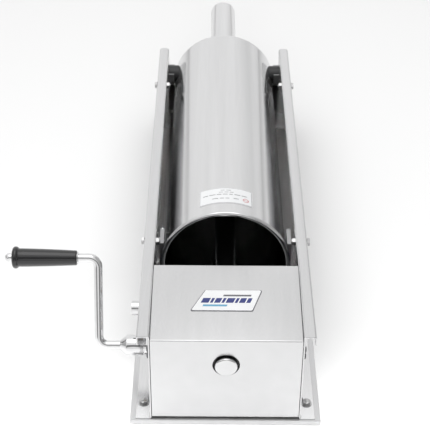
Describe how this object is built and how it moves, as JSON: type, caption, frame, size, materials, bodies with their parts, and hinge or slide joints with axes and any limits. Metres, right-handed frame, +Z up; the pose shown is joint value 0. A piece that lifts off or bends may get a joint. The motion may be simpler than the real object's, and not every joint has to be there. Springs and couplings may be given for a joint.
{
  "type": "sausage stuffer",
  "caption": "Horizontal crank-driven sausage stuffer: steel cylinder with piston, filling tube, two-speed geared rack and channel-shaped stand.",
  "frame": {"origin": "middle of the stuffer's footprint, on the surface that its feet stand on", "axes": "+Y along the cylinder towards the filling tube, +Z up, the crank on the -X side"},
  "size_m": [0.344, 0.8428, 0.1684],
  "materials": {
    "sheet_steel": "satin, fine grain",
    "polished_steel": "polished",
    "ground_steel": "ground and polished",
    "machined_steel": "machined",
    "crank_chrome": "polished",
    "fastener_steel": "bright",
    "bronze": "machined",
    "black_rubber": "matte",
    "white_silicone": "matte",
    "grip_plastic": "gloss",
    "bush_plastic": "matte",
    "white_nylon": "matte",
    "badge_print": "gloss",
    "label_print": "satin",
    "dark_sheet": "satin"
  },
  "bodies": {
    "frame": {"base_plate": "sheet_steel", "left_side_wall": "sheet_steel", "right_side_wall": "sheet_steel", "left_top_rail": "sheet_steel", "right_top_rail": "sheet_steel", "rail_bolts": "fastener_steel", "rail_nuts": "fastener_steel", "front_cross_plate": "dark_sheet", "cross_plate_screws": "fastener_steel", "rear_cradle": "sheet_steel", "cradle_screws": "fastener_steel", "left_trunnion_saddle": "sheet_steel", "right_trunnion_saddle": "sheet_steel", "rear_left_foot": "black_rubber", "rear_right_foot": "black_rubber", "front_left_foot": "black_rubber", "front_right_foot": "black_rubber", "foot_bolts": "fastener_steel", "gearbox_left_plate": "machined_steel", "gearbox_right_plate": "machined_steel", "gearbox_bulkhead": "machined_steel", "rear_guide_block": "machined_steel", "gearbox_bolts": "fastener_steel", "rod_front_bush": "bush_plastic", "rod_rear_bush": "bush_plastic", "fast_left_bush": "bronze", "fast_right_bush": "bronze", "fast_wall_bush": "bronze", "slow_inner_bush": "bronze", "slow_wall_bush": "bronze", "gearbox_cover": "sheet_steel", "cover_screws": "fastener_steel", "badge_plate": "badge_print", "cylinder_tube": "polished_steel", "cylinder_front_cap": "polished_steel", "left_trunnion": "polished_steel", "right_trunnion": "polished_steel", "trunnion_bushes": "bush_plastic", "tube_label": "label_print", "nozzle_gasket": "white_silicone", "nozzle": "polished_steel", "nozzle_ring_nut": "polished_steel"},
    "piston_rod": {"rack_rod": "ground_steel", "piston_disc": "white_nylon", "piston_gasket": "black_rubber", "piston_nut": "ground_steel", "air_valve_spring": "machined_steel"},
    "air_valve": {"air_valve_stem": "ground_steel"},
    "fast_gear": {"fast_shaft": "ground_steel", "rack_pinion": "machined_steel", "large_gear": "machined_steel", "fast_circlips": "machined_steel", "crank_hub": "crank_chrome", "crank_arm": "crank_chrome", "grip_washer": "crank_chrome", "grip_cap_nut": "crank_chrome"},
    "grip": {"crank_grip": "grip_plastic"},
    "slow_gear": {"slow_shaft": "ground_steel", "slow_pinion": "machined_steel", "slow_circlips": "machined_steel"}
  },
  "joints": [
    {"name": "rod_slide", "type": "slide", "parent": "frame", "child": "piston_rod", "axis": [0, 1, 0], "range_m": [-0.448, 0]},
    {"name": "fast_spin", "type": "hinge", "parent": "frame", "child": "fast_gear", "pos_m": [0.068, -0.36255, 0.066], "axis": [1, 0, 0], "range_deg": [0, 2145]},
    {"name": "slow_spin", "type": "hinge", "parent": "frame", "child": "slow_gear", "pos_m": [-0.002, -0.34802, 0.107], "axis": [1, 0, 0], "range_deg": [-8205, 0]},
    {"name": "grip_spin", "type": "hinge", "parent": "fast_gear", "child": "grip", "pos_m": [-0.132, -0.32316, 0.15617], "axis": [1, 0, 0], "continuous": true},
    {"name": "valve_slide", "type": "slide", "parent": "piston_rod", "child": "air_valve", "axis": [0, 1, 0], "range_m": [0, 0.003], "stiffness_N_per_m": 400, "springref_m": -0.002, "deforming": ["air_valve_spring"]}
  ],
  "couplings": [
    {"joint": "fast_spin", "follows": "rod_slide", "rad_per_m": -83.333},
    {"joint": "slow_spin", "follows": "rod_slide", "rad_per_m": 319.44}
  ]
}
